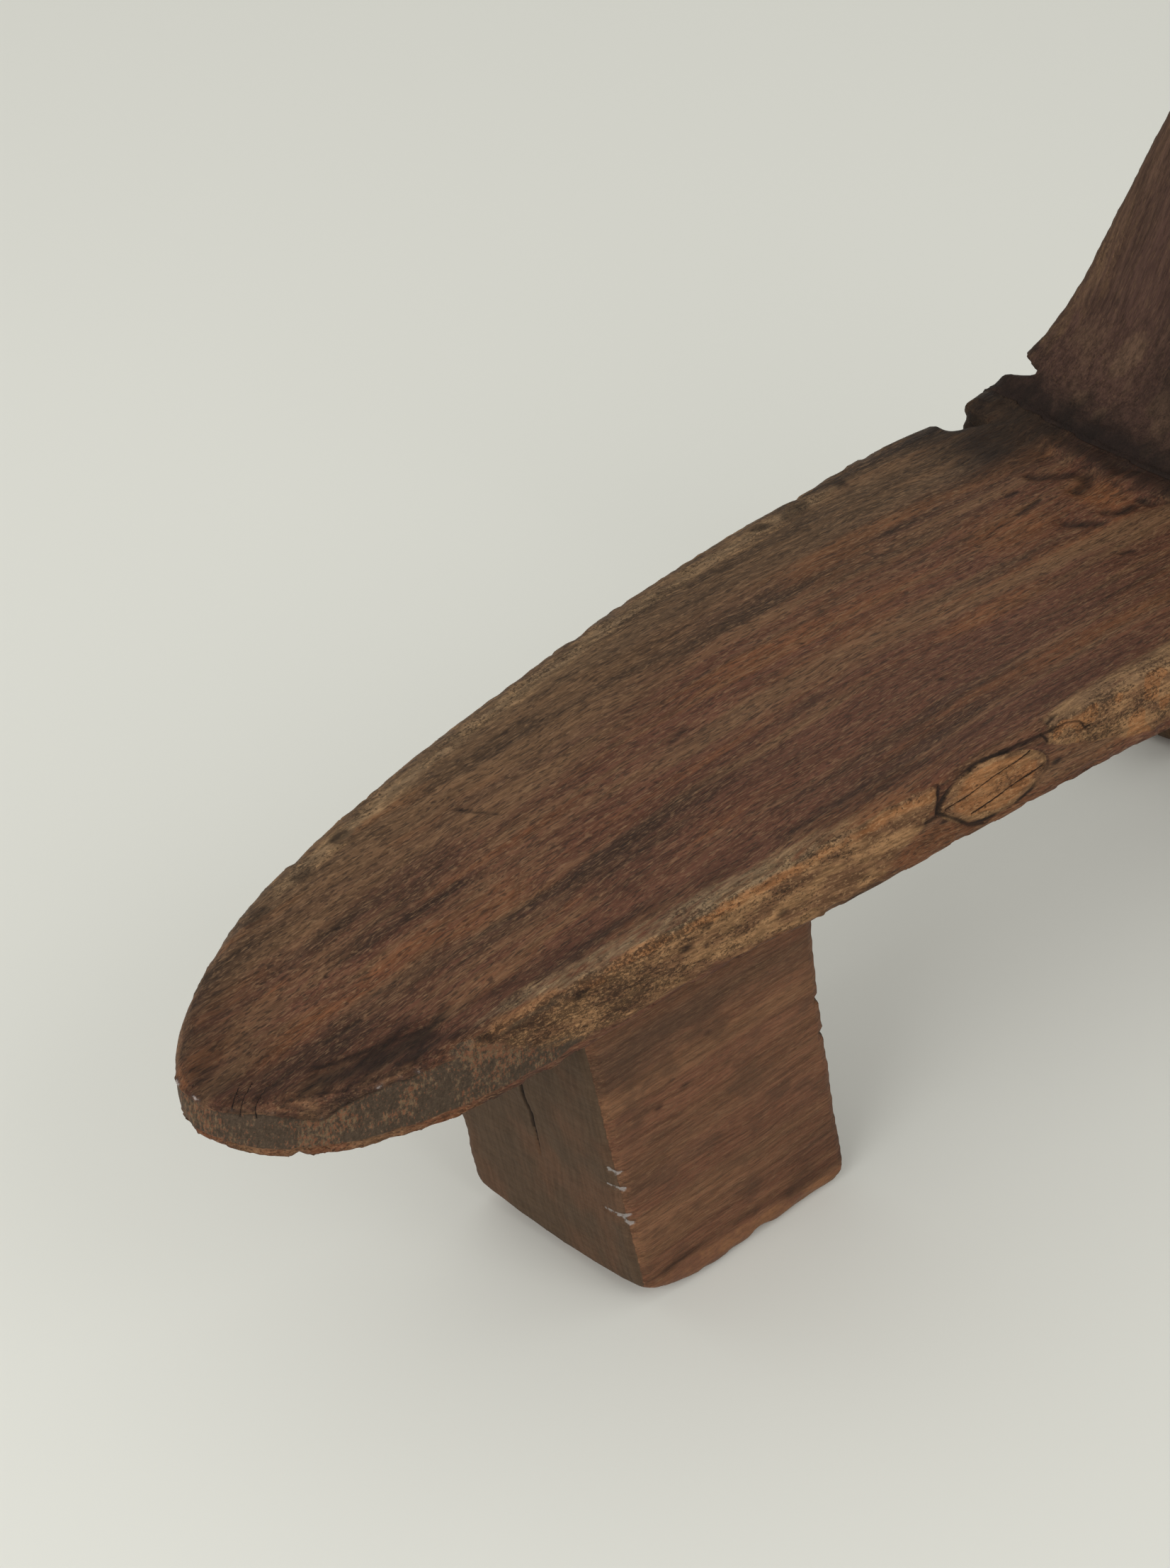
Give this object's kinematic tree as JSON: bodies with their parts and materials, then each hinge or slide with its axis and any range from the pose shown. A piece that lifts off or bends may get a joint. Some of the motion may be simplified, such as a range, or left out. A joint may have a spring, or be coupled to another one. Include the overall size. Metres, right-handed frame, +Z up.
{
  "type": "carved wooden reclining chair",
  "caption": "Low carved hardwood reclining chair with a long leaf-shaped seat, a leaning tapered back, a raked block leg in front and splayed legs behind.",
  "frame": {"origin": "on the floor, under the middle of the chair's overall box", "axes": "+Z up; -Y towards the tip of the seat, which is the front; +X towards the sitter's left"},
  "size_m": [0.295, 1.055, 0.706],
  "materials": {
    "seat_wood": "dark oiled hardwood with pale sapwood edges",
    "backrest_wood": "dark oiled hardwood",
    "front_leg_wood": "red-brown worn hardwood with a worn pale foot",
    "rear_leg_wood": "red-brown worn hardwood"
  },
  "bodies": {
    "root": {"seat": "seat_wood", "backrest": "backrest_wood", "front_leg": "front_leg_wood", "rear_leg_left": "rear_leg_wood", "rear_leg_right": "rear_leg_wood"}
  },
  "joints": []
}
